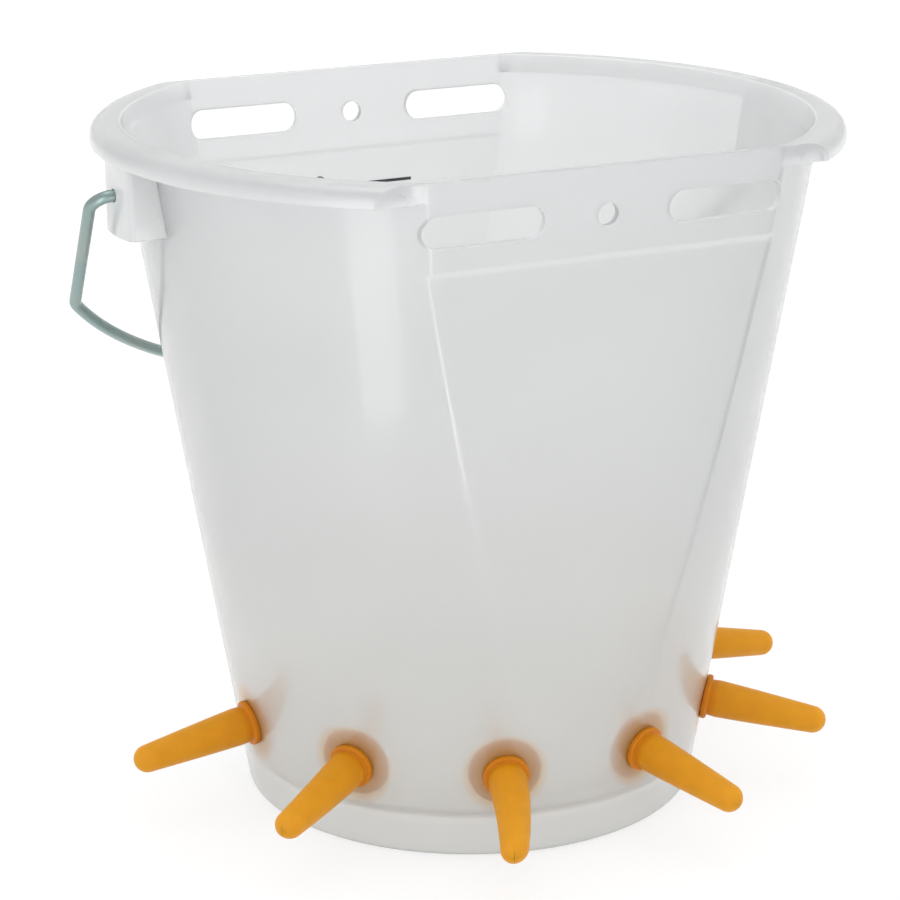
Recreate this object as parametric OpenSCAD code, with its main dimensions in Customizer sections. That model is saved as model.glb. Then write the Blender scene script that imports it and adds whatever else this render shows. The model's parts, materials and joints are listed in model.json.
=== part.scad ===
// Six-teat lamb feeder: a moulded bucket with two flattened sides, a wire bail,
// and a row of rubber teats low on the front, each with a ball check valve inside.
// Millimetres. Z is up, the floor is Z = 0, the teats are on the -Y half.

/* [Bucket] */
// Height from the floor to the rim
bucket_h = 295; // [270:1:320]
// Outer radius of the round wall at the floor
base_r = 98; // [94:0.5:102]
// Outer radius of the round wall at the rim
rim_r = 147; // [143:0.5:151]
// Thickness of the bucket wall
wall = 2.5; // [2:0.1:3.5]
// Height of the open foot ring under the bucket floor
foot_h = 18; // [12:1:26]
// Width of the flat that the foot ring stands on
foot_land = 2; // [1.5:0.1:4]
// Rounding of the outer foot edge
foot_round = 3; // [1:0.1:5]
// Thickness of the bucket floor
floor_t = 3; // [2:0.1:5]
// Fillet between the inner floor and the wall
floor_fillet = 3; // [2:0.1:5]

/* [Flat sides] */
// Height at which the flat panel runs out into the round wall
panel_low = 31.45; // [27:0.05:36]
// Lean of the flat panel from the vertical, degrees
panel_lean = 3.9; // [3:0.1:5]
// Height of the thicker band over the ledge
band_h = 36; // [30:0.5:42]
// Height of the sloping ledge under the band
ledge_h = 2; // [1:0.1:4]
// Step of the band proud of the panel
ledge_step = 1; // [0.5:0.1:2]
// Lean of the band from the vertical, degrees
band_lean = 7.4; // [6:0.1:9]

/* [Hanging holes] */
// Length of each hanging slot, end to end
slot_l = 51.5; // [40:0.5:54]
// Height of each hanging slot
slot_w = 13; // [10:0.5:16]
// Distance between the middles of the two slots of a side
slot_spacing = 106; // [98:0.5:110]
// Depth of the slot middles below the rim
slot_drop = 19.8; // [17:0.1:23]
// Diameter of the peg hole between the slots
peg_d = 9; // [6:0.5:12]

/* [Lip] */
// Reach of the lip beyond the round wall at the rim
lip_reach = 10.5; // [9:0.1:12]
// Height of the lip
lip_h = 8.3; // [7:0.1:10]
// Thickness of the lip's skirt
lip_t = 1.6; // [1.2:0.1:3]
// Thickness of the lip over its hollow
lip_top = 3.4; // [2.4:0.1:4.4]
// Rounding of the lip's outer top edge
lip_round = 6; // [4:0.1:6.9]
// Solid root between the round wall and the hollow of the lip
lip_root = 2.3; // [1:0.1:3]
// How far the ends of the lip lie behind the flat sides
lip_back = 1; // [0.5:0.1:3]

/* [Ears] */
// Width of each bail ear
ear_w = 28.4; // [22:0.2:34]
// Reach of the ear face beyond the round wall at the rim, nearly flush with the lip
ear_reach = 10.3; // [8:0.1:10.3]
// Depth of the ear's lower edge below the rim
ear_drop = 37; // [33:0.5:42]
// Thickness of the ear walls
ear_t = 2.7; // [2:0.1:3.2]
// Rounding of the ear's upright edges
ear_round = 3; // [1:0.1:5]
// Depth of the bail pivot below the rim
pivot_drop = 20.5; // [18:0.1:23]
// Gap round the bail wire in its ear hole
pivot_clear = 0.3; // [0.2:0.05:0.6]

/* [Bail] */
// Diameter of the bail wire
wire_d = 5; // [4:0.1:6]
// Distance of the bail legs from the ear faces, at the pivot
leg_gap = 9.3; // [9:0.1:13]
// Lean of the bail legs towards each other, degrees
leg_lean = 7.8; // [6:0.1:9]
// Distance from the pivot to the crown of the bow
bail_reach = 168.5; // [164:0.5:176]
// How far the radius of the bow passes the distance of the legs from the middle
bow_over = 17.9; // [14:0.1:24]
// Bend radius between each pivot stub and its leg
stub_bend = 8; // [6:0.5:10]
// Bend radius between each leg and the bow
bow_bend = 12; // [8:0.5:18]
// Gap between the end of the pivot stub and the bucket wall
stub_gap = 2; // [1:0.1:3]
// Chamfer on the ends of the wire
wire_chamfer = 0.6; // [0.3:0.1:1]
// Gap left where the bow leans on the back of the bucket
lean_gap = 0.5; // [0.3:0.1:1]

/* [Teats] */
// Number of teats over the front half of the wall
teat_count = 6; // [4:1:7]
// Diameter of the teat holes in the wall
hole_d = 16; // [15.5:0.1:17]
// Length of a teat outside the wall
teat_l = 54; // [48:0.5:64]
// Diameter of the teat at its collar
teat_base_d = 16.4; // [15.5:0.1:17.5]
// Diameter of the rounded teat tip
teat_tip_d = 11.8; // [11:0.1:13]
// Diameter of the collar outside the wall
collar_d = 19.5; // [18.5:0.1:22]
// Thickness of the collar
collar_t = 2.5; // [1.5:0.1:3.5]
// Diameter of the flange inside the wall
flange_d = 30; // [26:0.5:33]
// Thickness of the flange at its middle
flange_t = 3; // [2.5:0.1:4]
// Gap between the rubber and the bucket wall
seat_gap = 0.15; // [0.1:0.05:0.3]
// Thickness of the rubber near the tip
rubber_t = 2.6; // [2:0.1:3]
// Thickness of the rubber at the tip, which the milk slits go through
tip_t = 6; // [4:0.5:9]
// Length of the two crossed milk slits in the tip
slit_l = 4.5; // [3:0.1:5]
// Width of the milk slits
slit_w = 0.3; // [0.2:0.05:0.6]

/* [Check valves] */
// Diameter of the valve ball
ball_d = 7; // [6.4:0.1:7.2]
// Gap round the ball in its cage
ball_clear = 0.4; // [0.3:0.05:0.5]
// Way that the ball travels between cage and seat
ball_travel = 2.4; // [1.8:0.1:3]
// Gap left between the ball and what stops it
stop_gap = 0.2; // [0.15:0.05:0.3]
// Diameter of the valve in the teat bore
valve_d = 10.8; // [10.4:0.1:11]
// Gap round the valve in the teat bore
valve_clear = 0.1; // [0.05:0.05:0.2]
// Diameter of the inlet through the valve seat
inlet_d = 4.4; // [3.6:0.1:4.6]
// Diameter of the valve seat's flange inside the bucket
valve_flange_d = 19; // [16:0.5:22]
// Thickness of that flange
valve_flange_t = 1.6; // [1.2:0.1:2.4]
// Thickness of the end wall of the cage
cage_end_t = 2; // [1.4:0.1:2.6]
// Width of the milk windows in the cage
window_w = 2.6; // [2:0.1:3]

/* [Hidden] */
$fn = 96;
over = 1;                 // how far a cut runs past a face
arc_steps = 8;            // straight pieces in a rounded corner of a profile
least_round = 0.5;        // rounding left inside a corner whose wall is as thick as its rounding
window_count = 3;
TEATS = [1:teat_count];

// Bucket wall
wall_slope = (rim_r - base_r) / bucket_h;
wall_lean = atan(wall_slope);
wall_across = wall / cos(wall_lean);
floor_z = foot_h + floor_t;
lip_z = bucket_h - lip_h;
lip_r = rim_r + lip_reach;
ear_r = rim_r + ear_reach;
ear_z = bucket_h - ear_drop;
pivot_z = bucket_h - pivot_drop;
slot_z = bucket_h - slot_drop;
panel_z = bucket_h - band_h - ledge_h;
span = 2 * lip_r + 2 * over;

// Outer radius of the round wall at a height
function wall_r(z) = base_r + wall_slope * z;

// Distance of the flat panel from the middle under the ledge, and of the band at the rim
panel_y = wall_r(panel_low) + (panel_z - panel_low) * tan(panel_lean);
band_y = panel_y + ledge_step + band_h * tan(band_lean);

// Distance of the flat panel from the middle at a height below the ledge
function panel_at(z) = panel_y - (panel_z - z) * tan(panel_lean);

// Points along an arc
function arc(centre, r, from, to) =
    [for (i = [0:arc_steps]) let (a = from + (to - from) * i / arc_steps) centre + r * [cos(a), sin(a)]];

// Middle of a round corner between a level line and the wall, on the side towards the axis
function corner(r, z, radius) = [r + radius * wall_slope - radius / cos(wall_lean), z + radius];
foot_in_r = corner(base_r, 0, foot_round).x - foot_land;

// Bail: legs and bow in the bail's own plane, X along the pivot and Y away from it
leg_x = ear_r + leg_gap;
bow_r = leg_x + bow_over;
bow_y = bail_reach - bow_r;

// Where a line parallel to the leg, starting at x, meets a circle about the bow's middle
function leg_meets(x, radius) =
    let (t = tan(leg_lean), b = x * t + bow_y, a = 1 + t * t, c = x * x + bow_y * bow_y - radius * radius,
        y = (b + sqrt(b * b - a * c)) / a)
    [x - y * t, y];

stub_middle = [leg_x - stub_bend / cos(leg_lean) - stub_bend * tan(leg_lean), stub_bend];
bend_middle = leg_meets(leg_x - bow_bend / cos(leg_lean), bow_r - bow_bend);
bow_start = atan2(bend_middle.y - bow_y, bend_middle.x);
leg_side = [cos(leg_lean), sin(leg_lean)];
stub_end = wall_r(pivot_z) + stub_gap;
bend_lap = 0.5;           // how far a straight length runs into a bend
bend_ease = 0.04;         // a straight length is drawn this much thinner than its bends
straight_d = wire_d - bend_ease;

// Gap between the bow's wire and the back of the bucket, with the bail at an angle from straight down
bow_steps = 60;
function bow_gap(lean) = min([for (i = [0:bow_steps])
    let (a = bow_start + (90 - bow_start) * i / bow_steps, x = bow_r * cos(a), s = bow_y + bow_r * sin(a),
        y = s * sin(lean), z = pivot_z - s * cos(lean))
    max((norm([x, y]) - wall_r(z)) * cos(wall_lean), (y - panel_at(z)) * cos(panel_lean)) - wire_d / 2]);

// The angle at which that gap is the one wanted, found by halving a range of angles
least_lean = 20;
most_lean = 80;
halvings = 24;
function lean_at(low, high, left) =
    let (mid = (low + high) / 2)
    left == 0 ? mid : bow_gap(mid) < lean_gap ? lean_at(mid, high, left - 1) : lean_at(low, mid, left - 1);
bail_lean = lean_at(least_lean, most_lean, halvings);

// Teats: measures along a teat's axis, outward from the outer face of the wall
teat_z = floor_z + floor_fillet + flange_d / 2;
teat_step = 180 / (teat_count - 1);
neck_d = hole_d - 2 * seat_gap;
tip_r = teat_tip_d / 2;
flange_face = -(wall + flange_t);
bore_d = valve_d + 2 * valve_clear;

// Check valve, from the inlet outward
chamber_d = ball_d + 2 * ball_clear;
seat_depth = (chamber_d - inlet_d) / 2;
seat_face = -wall / 2;
seat_reach = (ball_d / 2 + stop_gap) * sqrt(2);
ball_shut = seat_face - chamber_d / 2 + seat_reach;
ball_rest = ball_shut + ball_travel;
cage_stop = ball_rest + ball_d / 2 + stop_gap;
cage_end = cage_stop + cage_end_t;
bore_taper_end = cage_end + bore_d / 2;
bore_tip_r = tip_r - rubber_t;
bore_end = teat_l - tip_t;
echo(bail_lean = bail_lean, bail_range = 360 - 2 * bail_lean);
echo(teat_z = teat_z, wall_lean = wall_lean, ball_rest = ball_rest);

// A slab whose sides lean, between the two flat sides, along X
module slab(side) {
    mirrored = [for (i = [len(side) - 1:-1:0]) [-side[i].x, side[i].y]];
    rotate([90, 0, 90])
        linear_extrude(height = span, center = true)
            polygon(concat(side, mirrored));
}

// Space between the outer faces of the flat sides, drawn in by a margin
module outer_slab(margin) {
    slab([
        [panel_at(-over) - margin, -over],
        [panel_y - margin, panel_z],
        [panel_y + ledge_step - margin, panel_z + ledge_h],
        [band_y - margin, bucket_h],
        [band_y - margin, bucket_h + over]
    ]);
}

module inner_slab() {
    panel_in = wall / cos(panel_lean);
    band_in = wall / cos(band_lean);
    slab([
        [panel_at(-over) - panel_in, -over],
        [panel_y - panel_in, panel_z],
        [band_y - band_in, bucket_h],
        [band_y - band_in, bucket_h + 2 * over]
    ]);
}

// Bucket: the round wall as a solid of turning, before it is flattened
module round_wall() {
    rotate_extrude()
        polygon(concat(
            [[0, 0]],
            arc(corner(base_r, 0, foot_round), foot_round, -90, -wall_lean),
            [[rim_r, bucket_h], [0, bucket_h]]
        ));
}

module cavity() {
    inner_r = wall_r(floor_z) - wall_across;
    rotate_extrude()
        polygon(concat(
            [[0, floor_z]],
            arc(corner(inner_r, floor_z, floor_fillet), floor_fillet, -90, -wall_lean),
            [[wall_r(bucket_h + over) - wall_across, bucket_h + over], [0, bucket_h + over]]
        ));
}

module lip() {
    rotate_extrude()
        polygon(concat(
            [[rim_r - wall / 2, lip_z], [lip_r, lip_z]],
            arc([lip_r - lip_round, bucket_h - lip_round], lip_round, 0, 90),
            [[rim_r - wall / 2, bucket_h]]
        ));
}

module lip_hollow() {
    left = rim_r + lip_root;
    right = lip_r - lip_t;
    top = bucket_h - lip_top;
    round = (right - left) / 2 - least_round;
    rotate_extrude()
        polygon(concat(
            [[left, lip_z - over], [right, lip_z - over]],
            arc([right - round, top - round], round, 0, 90),
            arc([left + round, top - round], round, 90, 180)
        ));
}

// One ear's plan, from inside the wall to its bowed face, drawn in by a margin
module ear_plan(margin) {
    inside = wall_r(ear_z) - wall;
    face = ear_r - margin;
    half = ear_w / 2 - margin;
    round = max(ear_round - margin, least_round);
    turn = asin((half - round) / (face - round));
    middle = [(face - round) * cos(turn), half - round];
    polygon(concat(
        [[inside, -half]],
        arc([middle.x, -middle.y], round, -90, -turn),
        arc([0, 0], face, -turn, turn),
        arc(middle, round, turn, 90),
        [[inside, half]]
    ));
}

module ear_block(margin, low, top) {
    for (side = [0, 1])
        mirror([side, 0, 0])
            translate([0, 0, low])
                linear_extrude(height = top - low)
                    ear_plan(margin);
}

module lip_and_ears() {
    difference() {
        union() {
            lip();
            ear_block(0, ear_z, bucket_h - lip_round);
        }
        lip_hollow();
        ear_block(ear_t, ear_z - over, bucket_h - lip_top);
        translate([0, 0, pivot_z])
            rotate([0, 90, 0])
                cylinder(d = wire_d + 2 * pivot_clear, h = span, center = true);
    }
}

// Both hanging slots and the peg hole, cut straight through the front and the back
module hanging_holes() {
    translate([0, 0, slot_z])
        rotate([90, 0, 0])
            linear_extrude(height = span, center = true) {
                circle(d = peg_d);
                for (side = [-1, 1])
                    translate([side * slot_spacing / 2, 0]) {
                        square([slot_l - slot_w, slot_w], center = true);
                        for (end = [-1, 1])
                            translate([end * (slot_l - slot_w) / 2, 0])
                                circle(d = slot_w);
                    }
            }
}

// Places children on a teat's axis, Z outward from the outer face of the wall
module at_teat(i) {
    rotate([0, 0, 180 + (i - 1) * teat_step])
        translate([wall_r(teat_z), 0, teat_z])
            rotate([0, 90 + wall_lean, 0])
                children();
}

module bucket() {
    color([0.9, 0.92, 0.92, 0.6])
        difference() {
            intersection() {
                union() {
                    round_wall();
                    intersection() {
                        lip_and_ears();
                        outer_slab(lip_back);
                    }
                }
                outer_slab(0);
            }
            intersection() {
                cavity();
                inner_slab();
            }
            translate([0, 0, -over])
                cylinder(r = foot_in_r, h = foot_h + over);
            hanging_holes();
            for (i = TEATS)
                at_teat(i)
                    cylinder(d = hole_d, h = 2 * (wall + flange_t), center = true);
        }
}

// Bail: one bend of the wire in the bail's plane
module wire_bend(middle, radius, from, to, d) {
    translate(middle)
        rotate([0, 0, from])
            rotate_extrude(angle = to - from)
                translate([radius, 0])
                    circle(d = d);
}

// A straight length of the wire, which laps into the bends at its ends
module wire_rod(from, to) {
    along = to - from;
    translate(from)
        rotate([0, 0, atan2(along.y, along.x)])
            rotate([0, 90, 0])
                translate([0, 0, -bend_lap])
                    cylinder(d = straight_d, h = norm(along) + 2 * bend_lap);
}

// The chamfered end that turns in an ear
module pivot_stub() {
    half = straight_d / 2;
    stub_l = stub_middle.x + bend_lap - stub_end;
    translate([stub_end, 0, 0])
        rotate([0, 90, 0])
            rotate_extrude()
                polygon([
                    [0, 0], [half - wire_chamfer, 0], [half, wire_chamfer], [half, stub_l], [0, stub_l]
                ]);
}

module bail_side() {
    leg_from = stub_middle + stub_bend * leg_side;
    leg_to = bend_middle + bow_bend * leg_side;
    pivot_stub();
    wire_bend(stub_middle, stub_bend, -90, leg_lean, wire_d);
    wire_rod(leg_from, leg_to);
    wire_bend(bend_middle, bow_bend, leg_lean, bow_start, wire_d);
}

module bail() {
    bow_lap = bend_lap / bow_r * 180 / PI;
    color("silver")
        translate([0, 0, pivot_z])
            rotate([bail_lean - 90, 0, 0]) {
                wire_bend([0, bow_y], bow_r, bow_start - bow_lap, 180 - bow_start + bow_lap, straight_d);
                bail_side();
                mirror([1, 0, 0])
                    bail_side();
            }
}

// The bucket wall near the teats, grown on both faces by the gap that the rubber leaves
module wall_zone() {
    low = teat_z - flange_d;
    high = teat_z + flange_d;
    grow = seat_gap / cos(wall_lean);
    difference() {
        translate([0, 0, low])
            cylinder(r1 = wall_r(low) + grow, r2 = wall_r(high) + grow, h = high - low);
        translate([0, 0, low])
            cylinder(
                r1 = wall_r(low) - wall_across - grow,
                r2 = wall_r(high) - wall_across - grow,
                h = high - low
            );
    }
}

// A teat's outside past the wall: collar, tapered body and round tip
module teat_outside() {
    tip = [0, teat_l - tip_r];
    rotate_extrude()
        polygon(concat(
            [[0, -collar_t], [collar_d / 2, -collar_t]],
            [[collar_d / 2, collar_t], [teat_base_d / 2, collar_t]],
            arc(tip, tip_r, 0, 90)
        ));
}

module teat_bore() {
    round_end = [0, bore_end - bore_tip_r];
    rotate_extrude()
        polygon(concat(
            [[0, flange_face - over], [bore_d / 2, flange_face - over], [bore_d / 2, cage_end]],
            [[bore_d / 2 - valve_clear - rubber_t / 2, bore_taper_end]],
            arc(round_end, bore_tip_r, 0, 90)
        ));
    for (turn = [0, 90])
        rotate([0, 0, turn])
            translate([-slit_l / 2, -slit_w / 2, bore_end - bore_tip_r])
                cube([slit_l, slit_w, teat_l]);
}

module teat(i) {
    color("orange")
        difference() {
            union() {
                difference() {
                    at_teat(i) {
                        teat_outside();
                        translate([0, 0, flange_face])
                            cylinder(d = flange_d, h = flange_t + wall / 2);
                    }
                    wall_zone();
                }
                at_teat(i)
                    translate([0, 0, flange_face])
                        cylinder(d = neck_d, h = flange_t + wall + collar_t);
            }
            at_teat(i)
                teat_bore();
        }
}

// Valve seat: a flanged bush with a cone for the ball
module valve_seat(i) {
    color("gainsboro")
        at_teat(i)
            rotate_extrude()
                polygon([
                    [inlet_d / 2, flange_face - valve_flange_t],
                    [valve_flange_d / 2, flange_face - valve_flange_t],
                    [valve_flange_d / 2, flange_face],
                    [valve_d / 2, flange_face],
                    [valve_d / 2, seat_face],
                    [chamber_d / 2, seat_face],
                    [inlet_d / 2, seat_face - seat_depth]
                ]);
}

module valve_ball(i) {
    color("lightgray")
        at_teat(i)
            translate([0, 0, ball_rest])
                sphere(d = ball_d);
}

// Valve cage: a sleeve that the ball runs in, with a pierced end
module valve_cage(i) {
    window_low = seat_face + wall;
    color("white")
        at_teat(i)
            difference() {
                translate([0, 0, seat_face])
                    cylinder(d = valve_d, h = cage_end - seat_face);
                translate([0, 0, seat_face - over])
                    cylinder(d = chamber_d, h = cage_stop - seat_face + over);
                translate([0, 0, cage_stop - over])
                    cylinder(d = inlet_d, h = cage_end_t + 2 * over);
                for (k = [1:window_count])
                    rotate([0, 0, k * 360 / window_count])
                        translate([0, -window_w / 2, window_low])
                            cube([valve_d, window_w, cage_stop - window_low]);
            }
}

bucket();
bail();
for (i = TEATS) {
    teat(i);
    valve_seat(i);
    valve_ball(i);
    valve_cage(i);
}
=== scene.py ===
"""The looks of a six-teat lamb feeder: translucent bucket, wire bail, latex teats and check valves."""
import json
import math

import bmesh
import bpy
from mathutils import Matrix, Vector


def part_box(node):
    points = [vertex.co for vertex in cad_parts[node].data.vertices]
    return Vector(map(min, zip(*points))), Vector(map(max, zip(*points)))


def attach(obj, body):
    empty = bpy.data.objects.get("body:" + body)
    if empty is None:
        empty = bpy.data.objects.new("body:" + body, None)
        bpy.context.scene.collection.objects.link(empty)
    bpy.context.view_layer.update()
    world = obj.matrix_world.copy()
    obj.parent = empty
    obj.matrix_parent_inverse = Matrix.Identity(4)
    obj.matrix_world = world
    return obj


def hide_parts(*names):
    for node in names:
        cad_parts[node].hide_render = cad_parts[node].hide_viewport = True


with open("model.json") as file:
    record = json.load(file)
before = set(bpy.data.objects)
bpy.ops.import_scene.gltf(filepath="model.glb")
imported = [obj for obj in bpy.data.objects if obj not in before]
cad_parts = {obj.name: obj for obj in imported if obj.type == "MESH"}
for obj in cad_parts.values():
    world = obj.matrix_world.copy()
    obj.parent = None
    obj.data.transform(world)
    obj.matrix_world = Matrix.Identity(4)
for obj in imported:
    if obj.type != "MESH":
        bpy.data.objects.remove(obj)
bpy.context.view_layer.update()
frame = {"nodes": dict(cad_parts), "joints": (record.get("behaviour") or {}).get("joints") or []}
nodes = frame["nodes"]
joints = {joint["name"]: joint for joint in frame["joints"]}

# Sizes are in millimetres, and meshes are scaled to metres as they are made
MM = 0.001
bucket_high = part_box("bucket")[1]

# Bucket
BUCKET_H = bucket_high.z / MM
LIP_R = bucket_high.x / MM
BASE_R = 98
RIM_R = 147
WALL = 2.5
FOOT_H = 18
FOOT_LAND = 2
FOOT_ROUND = 3
FOOT_EDGE = 1
FOOT_CHAMFER = 0.3
FLOOR_T = 3
FLOOR_FILLET = 3
RIM_ROUND = 0.5
WALL_SLOPE = (RIM_R - BASE_R) / BUCKET_H
WALL_LEAN = math.atan(WALL_SLOPE)
WALL_ACROSS = WALL / math.cos(WALL_LEAN)
FLOOR_Z = FOOT_H + FLOOR_T

# Flat sides
PANEL_LOW = 31.45
PANEL_LEAN = math.radians(3.9)
BAND_H = 36
LEDGE_H = 2
LEDGE_STEP = 1
LEDGE_SOFT = 0.4
BAND_LEAN = math.radians(7.4)
PANEL_Z = BUCKET_H - BAND_H - LEDGE_H
OUTER_EDGE_SOFT = 1.2
INNER_EDGE_SOFT = 0.5
WIDEST_ROUND = math.radians(84)

# Hanging holes
SLOT_L = 51.5
SLOT_W = 13
SLOT_SPACING = 106
SLOT_Z = BUCKET_H - 19.8
PEG_D = 9

# Lip and ears
LIP_Z = BUCKET_H - 8.3
LIP_T = 1.6
LIP_TOP = 3.4
LIP_ROUND = 6
LIP_ROOT = 2.3
LIP_BACK = 1
WEB_BACK = 0.8
WEB_T = 1.6
WEB_SINK = 0.4
EAR_W = 28.4
EAR_Z = BUCKET_H - 37
EAR_T = 2.7
EAR_ROUND = 3
EAR_INSET = 0.2
EAR_BOW_R = 65
EAR_BORE = 5.6

# Level mark printed inside the back, at about nine litres: a line with a plain 9 beside it
MARK_Z = 242.4
MARK_FROM = -8
MARK_TO = 27.6
MARK_W = 1.35
MARK_T = 0.08
DIGIT_X = -18.2
DIGIT_W = 1.1
BOWL_R = 2.6
BOWL_Y = 1.9
BOWL_STEPS = 32
TAIL_R = 7.2
TAIL_TURN = math.radians(58)

# Bail
WIRE_D = 5
LEG_X = 166.6
LEG_LEAN = math.radians(7.8)
BAIL_REACH = 168.5
BOW_R = LEG_X + 17.9
STUB_BEND = 8
BOW_BEND = 12
STUB_GAP = 2
WIRE_CHAMFER = 0.6

# Teats, along their axes from the outer face of the wall
TEAT_COUNT = 6
BALL_REST = 2.48
HOLE_D = 16
TEAT_L = 54
TEAT_BASE_D = 16.4
TEAT_TIP_D = 11.8
COLLAR_D = 19.5
COLLAR_T = 2.5
SHOULDER = 1.6
BODY_CURVE = 1.2
BODY_STEP = 2.5
FLANGE_D = 30
FLANGE_T = 3
SEAT_GAP = 0.15
TEAT_BORE_D = 11
BORE_END = 48
BORE_TIP_D = 6.6
BORE_TAPER = 0.8
VALVE_END = 8.2
SLIT_L = 4.5
SLIT_W = 0.15
SLIT_PAST = 1

# Mesh density
ROUND_COLUMNS = 60
FLAT_COLUMNS = 30
EDGE_STEPS = (0.5, 1.0, 1.5, 2.2, 3.2)
ROW_STEP = 4
ROW_GAP = 1
RECESS_RINGS = (45, 70)
FLOOR_RINGS = (80, 62, 45)
ARC_STEPS = 6
TURN_STEPS = 56
WELD = 0.01
FINE_WELD = 0.001
LEAST_SINE = 0.01


def line(start, step, end):
    """Even steps from start to end, both included."""
    count = max(1, round(abs(end - start) / step))
    return [start + (end - start) * i / count for i in range(count + 1)]


def arc(centre, radius, start, end, steps=ARC_STEPS):
    """Points along an arc, with the angles in radians."""
    angles = [start + (end - start) * i / steps for i in range(steps + 1)]
    return [(centre[0] + radius * math.cos(a), centre[1] + radius * math.sin(a)) for a in angles]


def rounded(corners):
    """A line through (x, y, rounding) corners, with each corner turned into an arc."""
    points = []
    for i, (x, y, rounding) in enumerate(corners):
        if not rounding or i in (0, len(corners) - 1):
            points.append((x, y))
            continue
        here = Vector((x, y))
        back = (Vector(corners[i - 1][:2]) - here).normalized()
        ahead = (Vector(corners[i + 1][:2]) - here).normalized()
        half = back.angle(ahead) / 2
        centre = here + (back + ahead).normalized() * rounding / math.sin(half)
        start = here + back * rounding / math.tan(half) - centre
        end = here + ahead * rounding / math.tan(half) - centre
        turn = start.angle_signed(end)
        for k in range(ARC_STEPS + 1):
            point = centre + Matrix.Rotation(-turn * k / ARC_STEPS, 2) @ start
            points.append((point.x, point.y))
    return points


def soft_min(a, b, soft):
    """The lesser of two numbers, with a blend where they are closer than soft."""
    if soft <= 0:
        return min(a, b)
    share = max(0.0, min(1.0, 0.5 + 0.5 * (b - a) / soft))
    return b + (a - b) * share - soft * share * (1 - share)


def smooth_step(value):
    value = max(0.0, min(1.0, value))
    return value * value * (3 - 2 * value)


# The bucket's wall, as distances from the middle
def wall_r(z):
    return BASE_R + WALL_SLOPE * z


PANEL_Y = wall_r(PANEL_LOW) + (PANEL_Z - PANEL_LOW) * math.tan(PANEL_LEAN)
BAND_Y = PANEL_Y + LEDGE_STEP + BAND_H * math.tan(BAND_LEAN)


def flat_y(z):
    """Outer face of a flat side: the panel, the rounded ledge and the band over it."""
    panel = PANEL_Y - (PANEL_Z - z) * math.tan(PANEL_LEAN)
    band = BAND_Y - (BUCKET_H - z) * math.tan(BAND_LEAN)
    share = smooth_step((z - PANEL_Z + LEDGE_SOFT) / (LEDGE_H + 2 * LEDGE_SOFT))
    return panel + (band - panel) * share


def flat_inner_y(z):
    """Inner face of a flat side, which has no ledge."""
    low = PANEL_Y - WALL / math.cos(PANEL_LEAN)
    high = BAND_Y - WALL / math.cos(BAND_LEAN)
    if z <= PANEL_Z:
        return low - (PANEL_Z - z) * math.tan(PANEL_LEAN)
    return low + (high - low) * (z - PANEL_Z) / (BUCKET_H - PANEL_Z)


def faces_at(z, depth):
    """Round radius and flat distance at a depth in the wall, 0 on its outer face and 1 on its inner one."""
    return wall_r(z) - depth * WALL_ACROSS, flat_y(z) * (1 - depth) + flat_inner_y(z) * depth


def spread(half, radius, count):
    """Angles from -half to half, closer together near both ends."""
    edges = [step / radius for step in EDGE_STEPS]
    inner = half - edges[-1]
    middle = [-inner + 2 * inner * i / count for i in range(count + 1)]
    ends = [half - step for step in edges[-2::-1]] + [half]
    return [-a for a in reversed(ends)] + middle + ends


def wall_row(z, depth):
    """A level ring of the wall, as angles and radii of its right, back, left and front stretches."""
    round_r, flat = faces_at(z, depth)
    soft = INNER_EDGE_SOFT if depth > 0.5 else OUTER_EDGE_SOFT * max(0, min(1, (LIP_Z - z) / ROW_STEP))
    border = math.asin(min(flat / round_r, math.sin(WIDEST_ROUND)))

    def point(a):
        r = soft_min(round_r, flat / max(abs(math.sin(a)), LEAST_SINE), soft)
        return Vector((r * math.cos(a), r * math.sin(a), z))
    return stretches(border, round_r, point)


def ring_row(radius, z):
    """A plain round ring under the flat sides."""
    return stretches(WIDEST_ROUND, radius, lambda a: Vector((radius * math.cos(a), radius * math.sin(a), z)))


def stretches(border, radius, point):
    round_angles = spread(border, radius, ROUND_COLUMNS)
    flat_angles = spread(math.pi / 2 - border, radius, FLAT_COLUMNS)
    return {
        "right": [point(a) for a in round_angles],
        "back": [point(a + math.pi / 2) for a in flat_angles],
        "left": [point(a + math.pi) for a in round_angles],
        "front": [point(a + 3 * math.pi / 2) for a in flat_angles],
    }


def lip_row(radius, z):
    """A ring of the lip's skin, which ends a little behind the planes of the two flat sides."""
    border = math.asin((flat_y(z) - LIP_BACK) / radius)
    angles = spread(border, radius, ROUND_COLUMNS)
    row = {}
    for name, turn in (("right", 0), ("left", math.pi)):
        row[name] = [Vector((radius * math.cos(a + turn), radius * math.sin(a + turn), z)) for a in angles]
    return row


def corner(radius, z, rounding):
    """Middle of a rounding between a level line and the leaning wall."""
    return radius + rounding * WALL_SLOPE - rounding / math.cos(WALL_LEAN), z + rounding


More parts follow.
